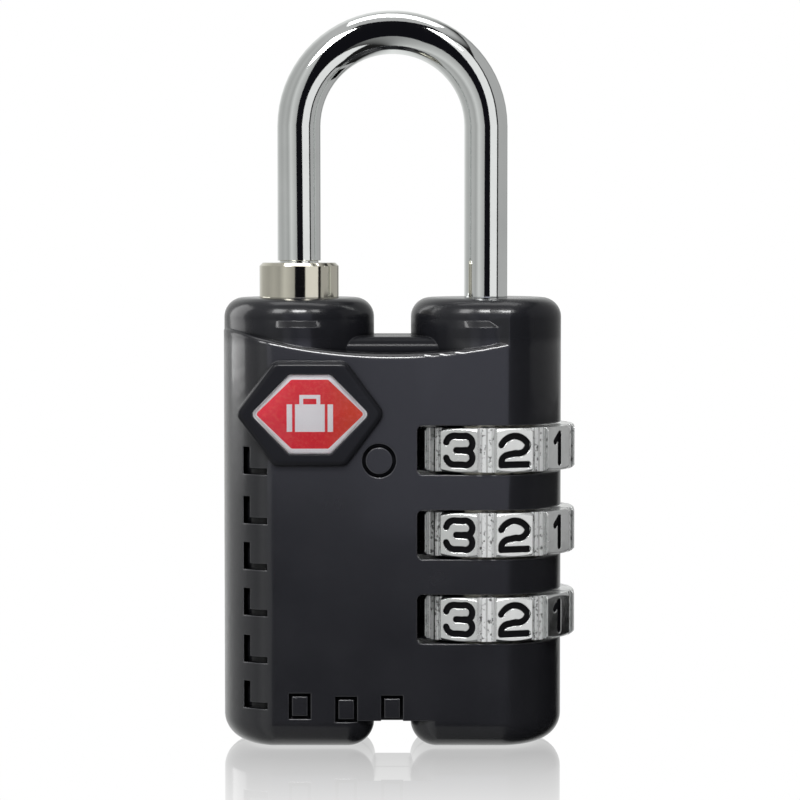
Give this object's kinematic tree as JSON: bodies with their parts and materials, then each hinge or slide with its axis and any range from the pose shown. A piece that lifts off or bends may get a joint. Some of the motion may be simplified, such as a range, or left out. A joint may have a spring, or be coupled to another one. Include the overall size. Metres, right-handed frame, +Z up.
{
  "type": "luggage combination padlock",
  "caption": "Small luggage padlock with a chrome shackle, number dials on one side, a keyed release on the other and a black two-column housing.",
  "frame": {"origin": "on the axis of the dial column, at the plane the feet stand on", "axes": "+X from the key column to the dial column, -Y front with the badge, +Z up through the shackle"},
  "size_m": [0.0325, 0.0168, 0.0674],
  "materials": {
    "black_paint": "gloss",
    "chrome_bar": "polished",
    "dial_metal": "satin",
    "nickel": "polished",
    "brass": "machined",
    "spring_steel": "drawn",
    "badge_white": "gloss",
    "badge_red": "gloss",
    "badge_clear": "clear"
  },
  "bodies": {
    "housing": {"front_housing": "black_paint", "rear_housing": "black_paint", "housing_rivets": "black_paint", "badge_plate": "badge_white", "badge_enamel": "badge_red", "badge_cover": "badge_clear", "guide_pin": "spring_steel", "lift_spring": "spring_steel", "reset_spring": "spring_steel", "click_spring": "spring_steel"},
    "shackle_body": {"shackle": "chrome_bar", "lug_pins": "spring_steel", "leg_clip": "spring_steel"},
    "dial_top": {"dial_ring_top": "dial_metal", "code_sleeve_top": "nickel"},
    "dial_middle": {"dial_ring_middle": "dial_metal", "code_sleeve_middle": "nickel"},
    "dial_bottom": {"dial_ring_bottom": "dial_metal", "code_sleeve_bottom": "nickel"},
    "key_core": {"key_plug": "brass", "key_wafers": "brass", "plug_clip": "spring_steel", "drive_pin": "spring_steel"},
    "collar": {"release_collar": "nickel"}
  },
  "joints": [
    {"name": "shackle_lift", "type": "slide", "parent": "housing", "child": "shackle_body", "axis": [0, 0, 1], "range_m": [0, 0.006], "deforming": ["lift_spring"]},
    {"name": "dial_top_spin", "type": "hinge", "parent": "housing", "child": "dial_top", "pos_m": [0, 0, 0], "axis": [0, 0, 1], "continuous": true, "deforming": ["click_spring"]},
    {"name": "dial_middle_spin", "type": "hinge", "parent": "housing", "child": "dial_middle", "pos_m": [0, 0, 0], "axis": [0, 0, 1], "continuous": true, "deforming": ["click_spring"]},
    {"name": "dial_bottom_spin", "type": "hinge", "parent": "housing", "child": "dial_bottom", "pos_m": [0, 0, 0], "axis": [0, 0, 1], "continuous": true, "deforming": ["click_spring"]},
    {"name": "key_turn", "type": "hinge", "parent": "housing", "child": "key_core", "pos_m": [-0.0173, 0, 0], "axis": [0, 0, 1], "range_deg": [0, 90.1]},
    {"name": "collar_drop", "type": "slide", "parent": "housing", "child": "collar", "axis": [0, 0, -1], "range_m": [0, 0.0032]}
  ],
  "couplings": [
    {"joint": "key_turn", "follows": "collar_drop", "rad_per_m": 490.87}
  ]
}
